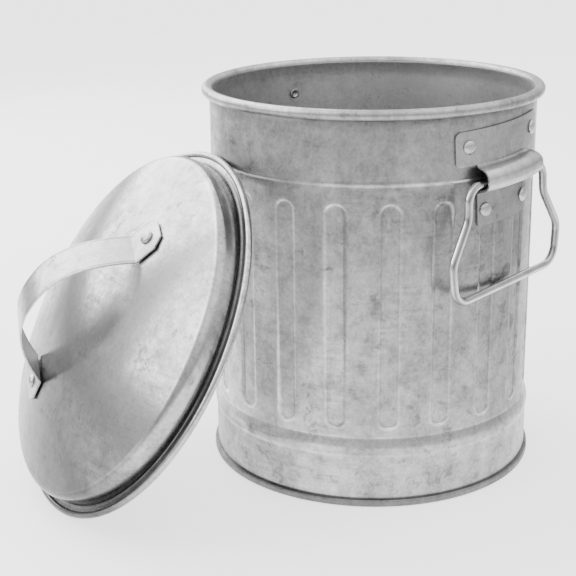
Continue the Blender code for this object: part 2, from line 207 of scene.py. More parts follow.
def grid_mesh(name, points, close_rows=False, close_columns=False, caps=False):
    """A mesh of quads over an array of points, rows by columns by 3."""
    rows, columns = points.shape[:2]
    index = np.arange(rows * columns).reshape(rows, columns)
    if close_rows:
        index = np.vstack([index, index[:1]])
    if close_columns:
        index = np.hstack([index, index[:, :1]])
    quads = np.stack([index[:-1, :-1], index[1:, :-1], index[1:, 1:], index[:-1, 1:]], axis=-1)
    faces = [tuple(int(v) for v in quad) for quad in quads.reshape(-1, 4)]
    if caps:
        faces.append(tuple(range(columns)))
        faces.append(tuple(range(rows * columns - 1, (rows - 1) * columns - 1, -1)))
    mesh = bpy.data.meshes.new(name)
    mesh.from_pydata([tuple(float(c) for c in p) for p in points.reshape(-1, 3)], [], faces)
    tool = bmesh.new()
    tool.from_mesh(mesh)
    bmesh.ops.remove_doubles(tool, verts=tool.verts, dist=0.000002)
    bmesh.ops.recalc_face_normals(tool, faces=tool.faces)
    tool.to_mesh(mesh)
    tool.free()
    return mesh


def line_at(value, centre, width):
    """1 on a line and 0 away from it."""
    return np.exp(-((value - centre) / width) ** 2)


def painted_light_and_shade(mesh, shade):
    """Store painted highlights and shade: how much lighter or darker each point is made, from its place."""
    place = np.array([tuple(vertex.co) for vertex in mesh.vertices])
    values = shade(np.hypot(place[:, 0], place[:, 1]), np.arctan2(place[:, 1], place[:, 0]), place[:, 2])
    mesh.attributes.new("painted_light_and_shade", "FLOAT", "POINT").data.foreach_set("value", values.astype(np.float32))


def add_piece(name, mesh, material, body, node, sharp=38, lining=None):
    """Put a fine piece on its CAD body, standing for its CAD node."""
    piece = bpy.data.objects.new(name, mesh)
    bpy.context.scene.collection.objects.link(piece)
    mesh.materials.append(material)
    if lining is not None:
        mesh.materials.append(lining)
    mesh.shade_smooth()
    mesh.set_sharp_from_angle(angle=math.radians(sharp))
    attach(piece, body)
    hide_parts(node)
    return piece


def moved(mesh, matrix):
    mesh.transform(matrix)
    return mesh


def thicken(piece, thickness, edge_width, edge_steps):
    """Turn a surface into sheet metal with eased edges, its back in the piece's second material."""
    sheet = piece.modifiers.new("Sheet", "SOLIDIFY")
    sheet.material_offset = 1
    sheet.thickness = thickness
    sheet.offset = 1.0
    sheet.use_even_offset = True
    edge = piece.modifiers.new("Edge", "BEVEL")
    edge.width = edge_width
    edge.segments = edge_steps
    edge.limit_method = "ANGLE"
    edge.angle_limit = math.radians(50)
    edge.harden_normals = True


def line_inside(mesh, within, below):
    """Give the second material to faces nearer the axis and lower than this that look inwards or down."""
    for face in mesh.polygons:
        radius = math.hypot(face.center.x, face.center.y)
        inwards = (face.normal.x * face.center.x + face.normal.y * face.center.y) / max(radius, 0.001)
        if radius < within and face.center.z < below and inwards + face.normal.z < -0.2:
            face.material_index = 1


def turned(name, outline, angles, closed=True, push=None):
    """Turn an (r, z) outline about Z; push bends radius and height of every point."""
    profile = np.array(outline, float)
    turn = np.asarray(angles, float)
    radius = np.repeat(profile[:, :1], len(turn), axis=1)
    height = np.repeat(profile[:, 1:2], len(turn), axis=1)
    angle = np.repeat(turn[None, :], len(profile), axis=0)
    if push is not None:
        radius, height = push(angle, radius, height)
    points = np.stack([radius * np.cos(angle), radius * np.sin(angle), height], axis=-1)
    return grid_mesh(name, points, close_rows=closed, close_columns=True)


def full_turn(steps):
    """Evenly spaced angles once round."""
    return np.arange(steps) * 2 * math.pi / steps


# ---------------------------------------------------------------- materials
class Nodes:
    """A short way to lay out a material's nodes."""

    def __init__(self, material):
        self.tree = material.node_tree
        self.shader = self.tree.nodes["Principled BSDF"]

    def add(self, kind, inputs=None, **settings):
        node = self.tree.nodes.new(kind)
        for key, value in settings.items():
            setattr(node, key, value)
        for key, value in (inputs or {}).items():
            self.feed(node, key, value)
        return node

    def feed(self, node, key, value):
        if isinstance(value, bpy.types.NodeSocket):
            self.tree.links.new(value, node.inputs[key])
        else:
            node.inputs[key].default_value = value

    def noise(self, place, scale, detail=4.0, rough=0.55, distortion=0.0):
        node = self.add("ShaderNodeTexNoise", {"Vector": place, "Scale": scale, "Detail": detail,
                                               "Roughness": rough, "Distortion": distortion})
        return node.outputs["Fac"]

    def stretch(self, place, scale, offset=(0.0, 0.0, 0.0)):
        return self.add("ShaderNodeMapping", {"Vector": place, "Scale": scale,
                                              "Location": offset}).outputs["Vector"]

    def span(self, value, low, high, to_low=0.0, to_high=1.0):
        """Map low..high to to_low..to_high, held at both ends."""
        node = self.add("ShaderNodeMapRange", {"Value": value, "From Min": low, "From Max": high,
                                               "To Min": to_low, "To Max": to_high})
        return node.outputs["Result"]

    def math(self, operation, a, b=0.0, c=0.0):
        node = self.add("ShaderNodeMath", {0: a, 1: b, 2: c}, operation=operation)
        return node.outputs["Value"]

    def along(self, place, origin, direction):
        """How far a place is from an origin along a direction."""
        away = self.add("ShaderNodeVectorMath", {0: place, 1: tuple(origin)}, operation="SUBTRACT")
        node = self.add("ShaderNodeVectorMath", {0: away.outputs["Vector"], 1: tuple(direction)},
                        operation="DOT_PRODUCT")
        return node.outputs["Value"]

    def grey(self, value):
        node = self.add("ShaderNodeCombineColor", {"Red": value, "Green": value, "Blue": value})
        return node.outputs["Color"]

    def shade_corners(self, value, reach, depth):
        """Painted shade: darken a value to depth times itself in the piece's own corners, within a reach.
        """
        corners = self.add("ShaderNodeAmbientOcclusion", {"Distance": reach}, samples=4, only_local=True)
        return self.math("MULTIPLY", value, self.span(corners.outputs["AO"], 0.30, 0.90, depth, 1.0))

    def bump(self, height, strength, distance, normal=None):
        inputs = {"Height": height, "Strength": strength, "Distance": distance}
        if normal is not None:
            inputs["Normal"] = normal
        return self.add("ShaderNodeBump", inputs).outputs["Normal"]


def new_material(name):
    material = bpy.data.materials.new(name)
    material.use_nodes = True
    return material, Nodes(material)


def galvanised(name, shade, contrast, gloss, seed, crease=(0.0045, 0.45), painted_fades=()):
    """Hot-dipped zinc: clouds, mottling, dull blotches, faint spangle, drips, specks and hairlines.

    shade is the mean reflectance and contrast its spread, gloss is the mean roughness, and seed moves the
    pattern. crease is the reach and depth of the painted shade in corners. Each fade is (origin, direction,
    from, to, first factor, last factor) and paints light and shade into the zinc's tone along a direction.
    """
    material, kit = new_material(name)
    here = kit.add("ShaderNodeTexCoord").outputs["Object"]
    place = kit.stretch(here, (1.0, 1.0, 1.0), (seed, seed * 0.7, seed * 1.3))
    clouds = kit.noise(place, 18.0, 4.0, 0.5)
    blotch = kit.noise(place, 74.0, 5.0, 0.62, 0.4)
    mottle = kit.noise(place, 190.0, 5.0, 0.68, 0.3)
    grain = kit.noise(place, 520.0, 4.0, 0.6)
    drips = kit.noise(kit.stretch(place, (1.0, 1.0, 0.10)), 120.0, 4.0, 0.6)
    scuffs = kit.noise(kit.stretch(place, (0.22, 0.22, 2.2)), 150.0, 5.0, 0.65, 0.2)
    scuff_area = kit.span(kit.noise(place, 21.0, 2.0, 0.5), 0.48, 0.60)
    cells = kit.add("ShaderNodeTexVoronoi", {"Vector": place, "Scale": 130.0, "Randomness": 1.0})
    spangle = kit.add("ShaderNodeSeparateColor", {"Color": cells.outputs["Color"]}).outputs["Red"]

    tone = 0.5
    for field, weight in ((clouds, 0.38), (blotch, 0.55), (mottle, 0.65), (grain, 0.45), (drips, 0.30),
                          (spangle, 0.07)):
        tone = kit.math("MULTIPLY_ADD", kit.math("SUBTRACT", field, 0.5), weight, tone)
    scuff = kit.math("MULTIPLY", kit.math("SUBTRACT", scuffs, 0.53), scuff_area)
    tone = kit.math("MULTIPLY_ADD", scuff, 0.65, tone)

    stain_area = kit.span(kit.noise(place, 27.0, 3.0, 0.5), 0.49, 0.58)
    stain = kit.span(kit.noise(place, 95.0, 7.0, 0.70, 0.15), 0.545, 0.60)
    stain = kit.math("MULTIPLY", stain, stain_area)
    specks = kit.span(kit.noise(place, 430.0, 2.0, 0.5), 0.69, 0.73)
    lines = kit.stretch(place, (1.0, 1.0, 0.22), (0.3, 0.1, 0.0))
    hair = kit.math("ABSOLUTE", kit.math("SUBTRACT", kit.noise(lines, 26.0, 2.0, 0.45), 0.5))
    hair = kit.span(hair, 0.0, 0.0016, 1.0, 0.0)
    hair = kit.math("MULTIPLY", hair, kit.span(kit.noise(place, 45.0, 2.0), 0.52, 0.58))

    value = kit.span(tone, 0.15, 0.85, shade - contrast, shade + contrast)
    for mark_and_painted_line, factor in ((stain, 0.62), (specks, 0.72), (hair, 0.78)):
        value = kit.math("MULTIPLY", value, kit.span(mark_and_painted_line, 0.0, 1.0, 1.0, factor))
    # Painted highlights and shade, stored on the mesh by place, scale the zinc's tone.
    light_and_shade = kit.add("ShaderNodeAttribute", attribute_name="painted_light_and_shade").outputs["Fac"]
    value = kit.math("MULTIPLY", value, kit.math("ADD", light_and_shade, 1.0))
    # Painted light and shade: each fade lightens or darkens the zinc along a direction.
    for origin, direction, low, high, first, last in painted_fades:
        painted_fade = kit.span(kit.along(here, origin, direction), low, high, first, last)
        value = kit.math("MULTIPLY", value, painted_fade)
    # Painted shade in the piece's own corners.
    value = kit.shade_corners(value, *crease)

    rough = kit.span(tone, 0.2, 0.8, gloss + 0.12, gloss - 0.08)
    rough = kit.math("MULTIPLY_ADD", stain, 0.12, rough)
    normal = kit.bump(blotch, 0.10, 0.0006)
    normal = kit.bump(mottle, 0.12, 0.0003, normal)
    normal = kit.bump(clouds, 0.25, 0.0014, normal)
    kit.feed(kit.shader, "Base Color", kit.grey(value))
    kit.feed(kit.shader, "Roughness", rough)
    kit.feed(kit.shader, "Metallic", 1.0)
    kit.feed(kit.shader, "Normal", normal)
    return material


def drawn_wire(name, shade, gloss, crease=(0.004, 0.5)):
    """Zinc-plated wire: bright and smooth, with fine grain, dull smudges, and painted dark lines of
    reflection along it.
    """
    material, kit = new_material(name)
    place = kit.add("ShaderNodeTexCoord").outputs["Object"]
    smudge = kit.noise(place, 75.0, 4.0, 0.6, 0.3)
    grain = kit.noise(place, 900.0, 3.0, 0.5)
    value = kit.span(smudge, 0.25, 0.75, shade * 0.72, shade * 1.25)
    value = kit.math("MULTIPLY", value, kit.span(grain, 0.3, 0.7, 0.93, 1.05))
    # Painted reflection: dark lines along the wire where the attribute is set.
    reflection_line = kit.add("ShaderNodeAttribute", attribute_name="painted_reflection_line").outputs["Fac"]
    value = kit.math("MULTIPLY", value, kit.span(reflection_line, 0.0, 1.0, 1.0, 0.28))
    # Painted shade in the piece's own corners.
    value = kit.shade_corners(value, *crease)
    kit.feed(kit.shader, "Base Color", kit.grey(value))
    kit.feed(kit.shader, "Roughness", kit.span(smudge, 0.3, 0.7, gloss + 0.08, gloss - 0.03))
    kit.feed(kit.shader, "Metallic", 1.0)
    kit.feed(kit.shader, "Normal", kit.bump(grain, 0.08, 0.0001))
    return material


# Light and shade painted into the zinc's tone over each piece.
WORLD_UP = Vector((0, 0, 1))
WORLD_BACK = Vector((0, 1, 0))
LID_SLANT = (LID_UP * 0.86 + LID_LEVEL * 0.51).normalized()
RIGHTWARDS = Vector((0.755, 0.656, 0))
# Painted light and shade on the wall: lighter low down and on the left, darker towards the top and the
# right.
WALL_PAINTED_LIGHT = ((AXIS, WORLD_UP, 0.03, 0.22, 1.32, 0.82), (AXIS, RIGHTWARDS, -0.045, -0.005, 1.36, 0.88))
# Painted shade inside: the lining darkens to 0.42 of its tone below 0.187 m.
INSIDE_PAINTED_SHADE = (AXIS, WORLD_UP, 0.1870, 0.1925, 0.42, 1.0)
# Painted shade on the lid: its zinc darkens to 0.22 of its tone towards the low side of the leaning lid.
LID_PAINTED_SHADE = (LID_CENTRE, LID_SLANT, -0.048, 0.012, 0.22, 1.0)
# Painted highlight on the brackets' loops, the tabs under them darker than the plates, and painted shade
# across each bracket towards +Y.
BRACKET_PAINTED_LIGHT = ((AXIS, WORLD_UP, 0.2125, 0.2150, 1.55, 1.0), (AXIS, WORLD_UP, 0.1968, 0.1990, 0.50, 1.0),
                 (AXIS, WORLD_BACK, -0.03, 0.01, 1.08, 0.80))
SHEET_METAL = galvanised("galvanised_wall", 0.24, 0.13, 0.32, 0.0, painted_fades=WALL_PAINTED_LIGHT)
# Painted light and shade inside the bin: a lighter copy of the zinc for the wall's inner faces and the
# floor plate, darker below by painted shade.
PAINTED_LINING_METAL = galvanised("galvanised_inside_painted_light", 0.47, 0.21, 0.38, 5.0, painted_fades=(INSIDE_PAINTED_SHADE,))
# Painted light: a much lighter copy of the zinc for the undersides of the lid, strap and brackets.
LIT_BACK_METAL = galvanised("galvanised_back_painted_light", 0.72, 0.12, 0.36, 13.0)
FOOT_METAL = galvanised("galvanised_foot", 0.16, 0.06, 0.42, 3.0)
LID_METAL = galvanised("galvanised_lid", 0.32, 0.15, 0.19, 7.0, crease=(0.004, 0.7), painted_fades=(LID_PAINTED_SHADE,))
BRACKET_METAL = galvanised("galvanised_bracket", 0.26, 0.10, 0.28, 11.0, crease=(0.003, 0.7),
                           painted_fades=BRACKET_PAINTED_LIGHT)
STRAP_METAL = galvanised("galvanised_strap", 0.37, 0.12, 0.26, 17.0, crease=(0.003, 0.7))
BAIL_METAL = drawn_wire("zinc_wire", 0.60, 0.09)
RIVET_METAL = drawn_wire("rivet_steel", 0.40, 0.24, crease=(0.002, 0.8))
CORE_METAL = drawn_wire("core_wire", 0.25, 0.45)


# ---------------------------------------------------------------- the bin
def wall_radius(z):
    """Outer radius of the wall at each height, without the flutes."""
    radius = WALL_MIDDLE + (WALL_UPPER - WALL_MIDDLE) * smoothstep(JOGGLE_Z - 0.0018, JOGGLE_Z, z)
    radius = radius + 0.00008 * line_at(z, JOGGLE_Z + 0.0003, 0.0010)
    radius = radius + (WALL_LOWER - WALL_MIDDLE) * smoothstep(BEAD_Z + BEAD_HALF, BEAD_Z - 0.002, z)
    across = np.clip(1 - ((z - BEAD_Z) / BEAD_HALF) ** 2, 0, 1)
    return radius + BEAD_RISE * across ** 0.8


def flute_reach(angle, z):
    """Distance from the nearest flute's middle line, and 0 beside that line to 1 beyond its ends."""
    pitch = 2 * math.pi / FLUTES
    offset = (angle - FLUTE_PHASE + pitch / 2) % pitch - pitch / 2
    across = offset * WALL_MIDDLE
    low, high = FLUTE_LOW + FLUTE_HALF, FLUTE_HIGH - FLUTE_HALF
    along = z - np.clip(z, low, high)
    reach = np.hypot(across, along)
    return reach, (np.abs(along) / np.maximum(reach, 0.0001)) ** 2


def flute_press(angle, z):
    """0 on the wall to 1 on a flute's floor: a round-ended channel, steepest at its ends."""
    reach, end = flute_reach(angle, z)
    edge = FLUTE_SIDE + (FLUTE_END - FLUTE_SIDE) * end
    return smoothstep(0.0, edge, FLUTE_HALF - reach)


SIDE_ANGLE = math.radians(41)
RIM_GROOVE_Z = 0.2428


def wall_side_light(angle, radius, z):
    """Painted light and shade that change slowly from side to side, not the same on the upper, middle and
    lower bands.
    """
    side = radius * np.cos(angle - SIDE_ANGLE)
    left = smoothstep(-0.025, -0.055, side)
    right = smoothstep(0.010, 0.030, side)
    far_right = smoothstep(0.060, 0.085, side)
    upper = smoothstep(0.1990, 0.2045, z)
    lower = smoothstep(0.0460, 0.0340, z)
    side_light = upper * (0.34 * right - 0.30 * left) + lower * (0.18 - 0.50 * left)
    return side_light - 0.26 * far_right * (1 - upper) * (1 - lower)


def wall_light_and_shade(radius, angle, z):
    """Painted highlights on pressed edges and the rim, painted shade in corners, and painted side light
    outside.
    """
    reach, end = flute_reach(angle, z)
    press = flute_press(angle, z)
    # Painted highlights on the flutes' shoulders and round ends, painted shade in their inner corners.
    shoulder = line_at(press, 0.34, 0.27) * smoothstep(0.0, 0.12, press)
    corner = line_at(press, 0.90, 0.06)
    crescent = end * line_at(reach, FLUTE_HALF - 0.0004, 0.0009)
    value = shoulder * 0.24 + 1.30 * crescent - corner * (0.18 + 0.30 * end)
    # Painted highlights just under the joggle and on the bead's upper edge and lower side.
    value = value + 0.70 * line_at(z, JOGGLE_Z - 0.0010, 0.0009)
    value = value + 0.35 * line_at(z, BEAD_Z + BEAD_HALF, 0.0006)
    value = value + 0.40 * line_at(z, BEAD_Z - BEAD_HALF * 0.8, 0.0012)
    # Painted highlight on the rim's roll and painted shade in the groove under it.
    value = value + 0.35 * smoothstep(RIM_GROOVE_Z + 0.0008, RIM_GROOVE_Z + 0.0018, z)
    value = value - 0.40 * line_at(z, RIM_GROOVE_Z, 0.0008)
    # The painted side light goes on the outer face only.
    outside = radius + FLUTE_DEPTH * press > wall_radius(z) - SHEET / 2
    return value + wall_side_light(angle, radius, z) * outside


def flute_columns():
    """Angles round the bin, close together over each flute and wider between them."""
    pitch = 2 * math.pi / FLUTES
    over = np.linspace(-FLUTE_HALF - 0.0006, FLUTE_HALF + 0.0006, 33) / WALL_MIDDLE
    between = np.linspace(over[-1], pitch + over[0], 8)[1:-1]
    one = np.concatenate([over, between])
    return np.concatenate([FLUTE_PHASE + one + i * pitch for i in range(FLUTES)])


def wall_heights():
    """Heights down the wall, close together where its shape turns."""
    spans = [(0.2400, 0.2095, 8), (0.2095, 0.2025, 18), (0.2025, FLUTE_HIGH + 0.0006, 5),
             (FLUTE_HIGH + 0.0006, FLUTE_HIGH - 0.0105, 30), (FLUTE_HIGH - 0.0105, FLUTE_LOW + 0.0105, 16),
             (FLUTE_LOW + 0.0105, FLUTE_LOW - 0.0006, 30), (FLUTE_LOW - 0.0006, 0.0465, 4),
             (0.0465, 0.0310, 30), (0.0310, 0.0018, 8)]
    heights = [spans[0][0]]
    for top, bottom, steps in spans:
        heights += list(np.linspace(top, bottom, steps + 1)[1:])
    return heights


def body_push(angle, radius, height):
    """Press the flutes and leave the slight waves of hand-rolled sheet."""
    on_wall = smoothstep(0.2440, 0.2380, height)
    wave = np.sin(3 * angle + 0.7) * np.sin(24 * height + 1.1) + 0.6 * np.sin(7 * angle + 31 * height)
    wave = wave + 0.5 * np.sin(11 * angle - 43 * height + 2.0)
    radius = radius - FLUTE_DEPTH * flute_press(angle, height) * on_wall
    clear = on_wall * smoothstep(0.004, 0.012, height)
    return radius + WALL_WAVE * wave * clear, height


def make_body():
    roll = (RIM_RADIUS - RIM_ROLL, BIN_HEIGHT - RIM_ROLL)
    outline = arc(roll, RIM_ROLL, -100, 200, 44)
    heights = wall_heights()
    outer = [(float(wall_radius(z)), z) for z in heights]
    outline += [(r - SHEET, z) for r, z in outer]
    outline += list(reversed(outer))
    outline += arc(roll, RIM_ROLL - SHEET, 215, -100, 24)
    mesh = turned("bin_wall", outline, flute_columns(), push=body_push)
    line_inside(mesh, WALL_LOWER, BIN_HEIGHT - 0.0030)
    painted_light_and_shade(mesh, wall_light_and_shade)
    add_piece("bin_wall", moved(mesh, BIN_MATRIX), SHEET_METAL, "can", "can_body",
              lining=PAINTED_LINING_METAL)


def make_rim_wire():
    centre = (RIM_RADIUS - RIM_ROLL, BIN_HEIGHT - RIM_ROLL)
    mesh = turned("rim_core", arc(centre, RIM_WIRE, 0, 330, 11), full_turn(180))
    add_piece("rim_core", moved(mesh, BIN_MATRIX), CORE_METAL, "can", "rim_wire")


def make_floor_plate():
    """The floor plate: a dished disc whose edge turns down inside the foot."""
    top = [(0.0, FLOOR_Z + 0.0012), (0.030, FLOOR_Z + 0.0012), (0.060, FLOOR_Z + 0.0012),
           (0.070, FLOOR_Z + 0.0012), (0.076, FLOOR_Z + 0.0008), (0.082, FLOOR_Z),
           (0.095, FLOOR_Z), (0.1016, FLOOR_Z), (0.1028, FLOOR_Z - 0.0006), (0.1030, FLOOR_Z - 0.0018),
           (0.1030, 0.0012)]
    under = [(max(r - SHEET * (1 if r > 0.1 else 0), 0.0), z - SHEET * (0 if z < 0.002 else 1))
             for r, z in reversed(top)]
    mesh = turned("bin_floor_plate", soften(top, 2) + under, full_turn(240), closed=False)
    add_piece("bin_floor_plate", moved(mesh, BIN_MATRIX), PAINTED_LINING_METAL, "can", "can_bottom")


def make_foot():
    """The rolled ring round the bottom edge, a trough that the wall stands in."""
    outer, inner = FOOT_RADIUS, FOOT_INNER
    lip = WALL_LOWER + CONTACT
    outline = [(lip, FOOT_HEIGHT), (outer - 0.0006, FOOT_HEIGHT)]
    outline += arc((outer - 0.0016, FOOT_HEIGHT - 0.0016), 0.0016, 75, 0, 6)
    outline += arc((outer - 0.0014, 0.0014), 0.0014, 0, -90, 8)
    outline += arc((inner + 0.0006, 0.0006), 0.0006, -90, -180, 4)
    outline += [(inner, 0.0068), (inner + SHEET, 0.0068), (inner + SHEET, 0.0010),
                (outer - SHEET - 0.0010, 0.0010), (outer - SHEET, 0.0018),
                (outer - SHEET, FOOT_HEIGHT - 0.0018), (lip, FOOT_HEIGHT - 0.0010)]
    mesh = turned("bin_foot_ring", outline, full_turn(360))
    add_piece("bin_foot_ring", moved(mesh, BIN_MATRIX), FOOT_METAL, "can", "foot_ring")


# ---------------------------------------------------------------- handle brackets and rivets
def lean(side, angle, height):
    """Turn a place on the wall about the bracket's upper middle; only the right one, side 0, leans."""
    if side:
        return side + angle, height
    run = angle * WALL_UPPER
    drop = LEAN_HEIGHT - height
    turned_run = run * math.cos(RIGHT_LEAN) + drop * math.sin(RIGHT_LEAN)
    turned_drop = drop * math.cos(RIGHT_LEAN) - run * math.sin(RIGHT_LEAN)
    return turned_run / WALL_UPPER, LEAN_HEIGHT - turned_drop


def bracket_path():
    """(r, z) of the bracket's inner face from top to bottom: its plate, its loop and its tab."""
    plate = WALL_UPPER + CONTACT
    tab = WALL_MIDDLE + CONTACT
    middle = (PLATE_FOOT + LOOP_FOOT) / 2
    rise = (PLATE_FOOT - LOOP_FOOT) / 2 - BRACKET_SHEET
    loop = []
    for turn in np.radians(np.linspace(80, -80, 33)):
        out = math.cos(turn) ** LOOP_POWER
        up = math.copysign(abs(math.sin(turn)) ** LOOP_POWER, turn)
        loop.append((plate + LOOP_DEPTH * out, middle + (rise - GAP) * up))
    path = [(plate, PLATE_FOOT + 0.0012), (plate, PLATE_FOOT)] + loop
    path += [(tab, LOOP_FOOT - 0.0006), (tab, LOOP_FOOT - 0.0022)]
    upper = [(plate, z) for z in np.linspace(PLATE_TOP, PLATE_FOOT + 0.0012, 24)[:-1]]
    lower = [(tab, z) for z in np.linspace(LOOP_FOOT - 0.0022, TAB_FOOT, 18)[1:]]
    return upper, soften(path, 2), lower


def corner_inset(distance, radius):
    """How far a rounded corner pulls an edge in, at this distance from the end."""
    if distance >= radius:
        return 0.0
    return radius - math.sqrt(max(radius ** 2 - (radius - distance) ** 2, 0.0))


def make_bracket(side_name, side):
    """A T-shaped plate bent to the wall, with a loop rolled out across it for the bail."""
    upper, loop, lower = bracket_path()
    rows = upper + loop + lower
    plate_foot = PLATE_FOOT + 0.0012
    wing = np.linspace(0, 1, 12)[1:]
    centre_columns = np.linspace(-1, 1, 25)
    tool = bmesh.new()
    last = None
    for number, (radius, height) in enumerate(rows):
        on_plate = number <= len(upper)
        inset = 0.0
        if on_plate:
            inset = corner_inset(PLATE_TOP - height, PLATE_CORNER)
            inset += corner_inset(height - plate_foot, PLATE_CORNER * 0.8)
        half = PLATE_HALF - inset / WALL_UPPER
        centre_half = LOOP_HALF - corner_inset(height - TAB_FOOT, TAB_CORNER) / WALL_UPPER
        angles = [centre_half * c for c in centre_columns]
        if on_plate:
            outer = [LOOP_HALF + (half - LOOP_HALF) * w for w in wing]
            angles = [-a for a in reversed(outer)] + angles + outer
        line = []
        for angle in angles:
            at, up = lean(side, angle, height)
            line.append(tool.verts.new((radius * math.cos(at), radius * math.sin(at), up)))
        if last is not None:
            above = last
            if len(above) > len(line):
                above = above[len(wing):-len(wing)]
            for j in range(len(line) - 1):
                tool.faces.new((above[j], line[j], line[j + 1], above[j + 1]))
        last = line
    name = "bracket_plate_" + side_name
    mesh = bpy.data.meshes.new(name)
    tool.to_mesh(mesh)
    tool.free()
    piece = add_piece(name, moved(mesh, BIN_MATRIX), BRACKET_METAL, "can", "bracket_" + side_name,
                      lining=LIT_BACK_METAL)
    thicken(piece, BRACKET_SHEET + GAP, 0.00022, 2)


def rivet_mesh(name, grip):
    """A domed head, a shank through the sheets, and a clinched tail with its hollow."""
    head = [(RIVET_HEAD * math.sin(a), 0.0003 + (RIVET_RISE - 0.0003) * math.cos(a) ** 1.15)
            for a in np.radians(np.linspace(0, 86, 18))]
    head += [(RIVET_HEAD, 0.0002), (RIVET_HEAD - 0.0001, -0.0002)]
    shank = [(RIVET_SHANK, 0.0), (RIVET_SHANK, -grip)]
    tail = [(0.0030, -grip), (0.0034, -grip - 0.0003), (0.0033, -grip - 0.0007),
            (0.0027, -grip - 0.0009), (0.0018, -grip - 0.0008), (0.0014, -grip - 0.0004),
            (0.0012, -grip + 0.0002), (0.0006, -grip + 0.0004), (0.0, -grip + 0.0004)]
    return turned(name, head + shank + tail, full_turn(40), closed=False)


def wall_matrix(angle, radius, height):
    """A frame on the bin's wall whose Z points straight out from its axis."""
    turn = Matrix.Rotation(angle, 4, "Z") @ Matrix.Rotation(math.pi / 2, 4, "Y")
    place = Vector((radius * math.cos(angle), radius * math.sin(angle), height))
    return BIN_MATRIX @ Matrix.Translation(place) @ turn


def make_bracket_rivets(side_name, side):
    """Two rivets above the loop, through the upper band, and two below it, through the fluted one."""
    number = 0
    for (spread, height), wall, grip in ((UPPER_RIVETS, WALL_UPPER, 0.0030),
                                         (LOWER_RIVETS, WALL_MIDDLE, 0.0040)):
        for sign in (1, -1):
            number += 1
            face = wall + GAP + 0.0001 + BRACKET_SHEET + 0.0002
            node = "rivet_" + side_name + "_" + str(number)
            mesh = rivet_mesh(node + "_head", grip)
            at, up = lean(side, sign * spread, height)
            mesh.transform(wall_matrix(at, face, up))
            add_piece(node + "_head", mesh, RIVET_METAL, "can", node, sharp=50)


# ---------------------------------------------------------------- bails
def bail_line():
    """(across, down) along the whole wire, from one end in the loop to the other."""
    corners = [(BAIL_END, 0.0), (BAIL_TOP, 0.0), BAIL_NECK, BAIL_FLARE, BAIL_BOTTOM, (0.0, BAIL_BOTTOM[1])]
    half = rounded(corners, BAIL_CORNERS, 16)
    fine = []
    for a, b in zip(half, half[1:]):
        steps = max(1, int((b - a).length / 0.0015))
        fine += [a.lerp(b, i / steps) for i in range(steps)]
    fine.append(half[-1])
    return fine + [Vector((-p.x, p.y)) for p in reversed(fine[:-1])]


def make_bail(side_name):
    """A bent wire in the plane through its hinge, swept as a smooth round tube with ground ends."""
    joint = JOINTS["handle_" + side_name + "_swing"]
    pivot = Vector(joint["pos_m"])
    across = Vector(joint["axis"]).normalized()
    outward = Vector((pivot.x - AXIS.x, 0, 0)).normalized()
    down = outward.cross(across)
    if down.z > 0:
        down = -down
    outward = across.cross(down)
    line = bail_line()
    sides = np.arange(32) * 2 * math.pi / 32
    rows = []
    for i, p in enumerate(line):
        ahead = line[min(i + 1, len(line) - 1)]
        behind = line[max(i - 1, 0)]
        run = ((ahead - behind).x * across + (ahead - behind).y * down).normalized()
        side = outward.cross(run)
        centre = pivot + across * p.x + down * p.y
        rows.append([centre + (outward * math.cos(a) + side * math.sin(a)) * WIRE for a in sides])
    points = np.array([[tuple(v) for v in row] for row in rows])
    name = "bail_" + side_name
    mesh = grid_mesh(name, points, close_columns=True, caps=True)
    # Painted reflection: two dark lines along the wire's outer half, 45 degrees either side of straight
    # out.
    reflection_marks = mesh.attributes.new("painted_reflection_line", "FLOAT", "POINT").data
    for number, mark_and_painted_line in enumerate(reflection_marks):
        side = sides[number % len(sides)]
        mark_and_painted_line.value = (0.5 - 0.5 * math.cos(4 * side)) * (math.cos(side) > -0.1)
    add_piece(name, mesh, BAIL_METAL, "handle_" + side_name, "handle_" + side_name)


# ---------------------------------------------------------------- the lid
def dome_height(radius):
    return LID_SHOULDER_Z + LID_CROWN * (1 - (radius / LID_SHOULDER) ** 2)


def dome_slope(radius):
    return 2 * LID_CROWN * radius / LID_SHOULDER ** 2


def offset_outline(points, distance):
    """The outline moved sideways by a distance, along each point's own normal."""
    path = np.array(points, float)
    run = np.gradient(path, axis=0)
    run /= np.linalg.norm(run, axis=1)[:, None]
    inner = path + distance * np.stack([-run[:, 1], run[:, 0]], axis=1)
    inner[:, 0] = np.maximum(inner[:, 0], 0.0)
    return [tuple(p) for p in inner]


def lid_outline():
    """Outer face of the lid, from its crown down to the end of its rolled edge."""
    radii = list(np.linspace(0.0, 0.1060, 68)) + list(np.linspace(0.1060, 0.1098, 9)[1:])
    dome = [(r, dome_height(r)) for r in radii]
    edge = [dome[-1], (0.1117, dome[-1][1] - 0.0013), (LID_DRUM - 0.0001, 0.0124), (LID_DRUM, 0.0090),
            (LID_DRUM, 0.0050), (LID_DRUM, 0.0008), (LID_DRUM + 0.0014, 0.0001),
            (LID_ROLL_RADIUS - 0.0030, 0.0001)]
    roll = arc((LID_ROLL_RADIUS, -LID_ROLL_DROP), LID_ROLL, 168, -115, 30)
    return dome[:-1] + soften(edge, 3)[:-1] + roll


def lid_push(angle, radius, height):
    """Slight waves in the pressed sheet."""
    wave = np.sin(2 * angle + 0.4) * np.sin(60 * radius) + 0.5 * np.sin(5 * angle + 90 * radius)
    wave = wave * smoothstep(0.010, 0.040, radius) * smoothstep(0.1090, 0.1000, radius)
    return radius, height - LID_WAVE * (1 + wave)


